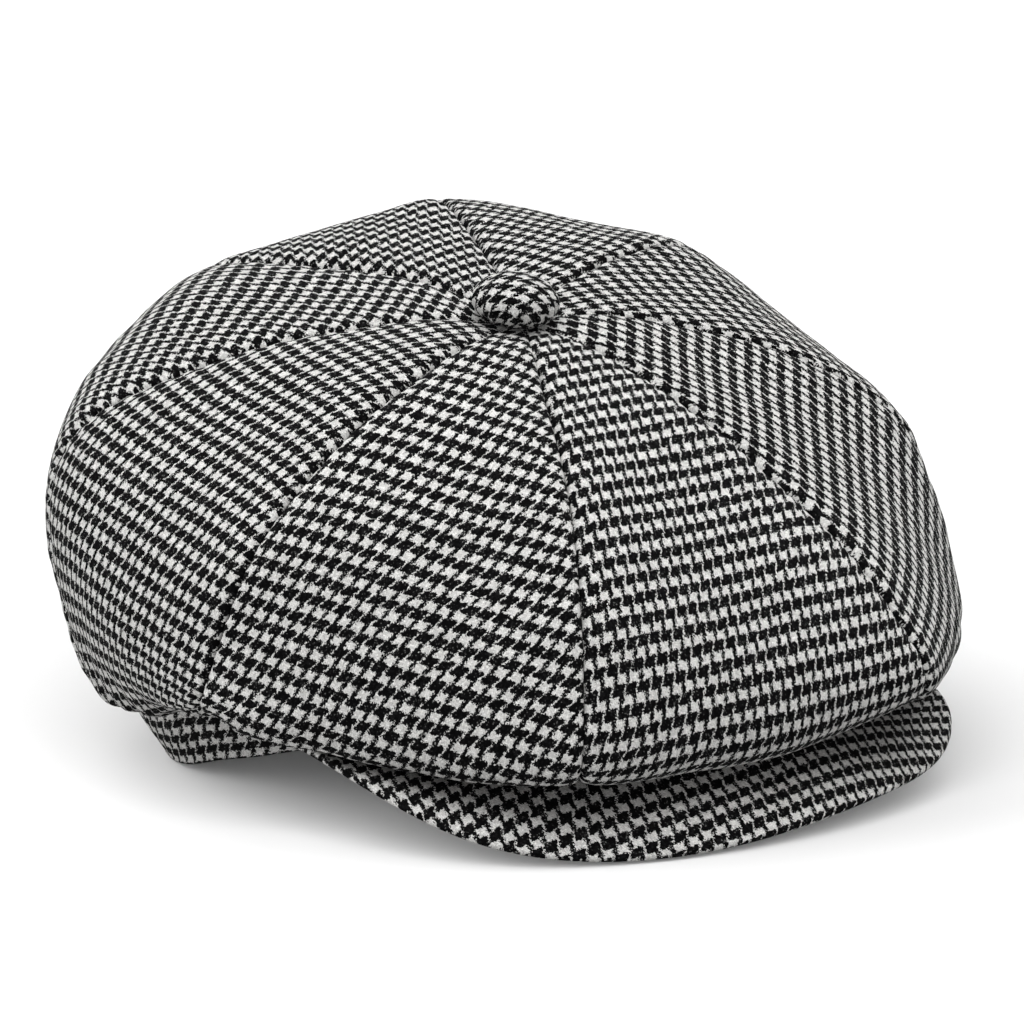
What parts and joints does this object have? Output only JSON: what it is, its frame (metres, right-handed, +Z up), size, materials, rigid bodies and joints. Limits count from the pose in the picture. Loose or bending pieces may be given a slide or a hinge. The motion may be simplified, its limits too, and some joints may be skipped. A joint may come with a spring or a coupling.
{
  "type": "newsboy cap",
  "caption": "Full, gored wool cap with a covered button on top, a narrow band open for the head and a stiff cloth-covered peak, lying on its band and peak.",
  "frame": {"origin": "on the table, under the centre of the cap's bounding box", "axes": "+Z up, -Y towards the front of the peak, +X towards the wearer's left"},
  "size_m": [0.2604, 0.2638, 0.1497],
  "materials": {
    "houndstooth_wool": "matte black and off-white houndstooth wool"
  },
  "bodies": {
    "root": {"panel_front": "houndstooth_wool", "panel_front_left": "houndstooth_wool", "panel_left": "houndstooth_wool", "panel_back_left": "houndstooth_wool", "panel_back": "houndstooth_wool", "panel_back_right": "houndstooth_wool", "panel_right": "houndstooth_wool", "panel_front_right": "houndstooth_wool", "band": "houndstooth_wool", "peak": "houndstooth_wool", "button": "houndstooth_wool"}
  },
  "joints": []
}
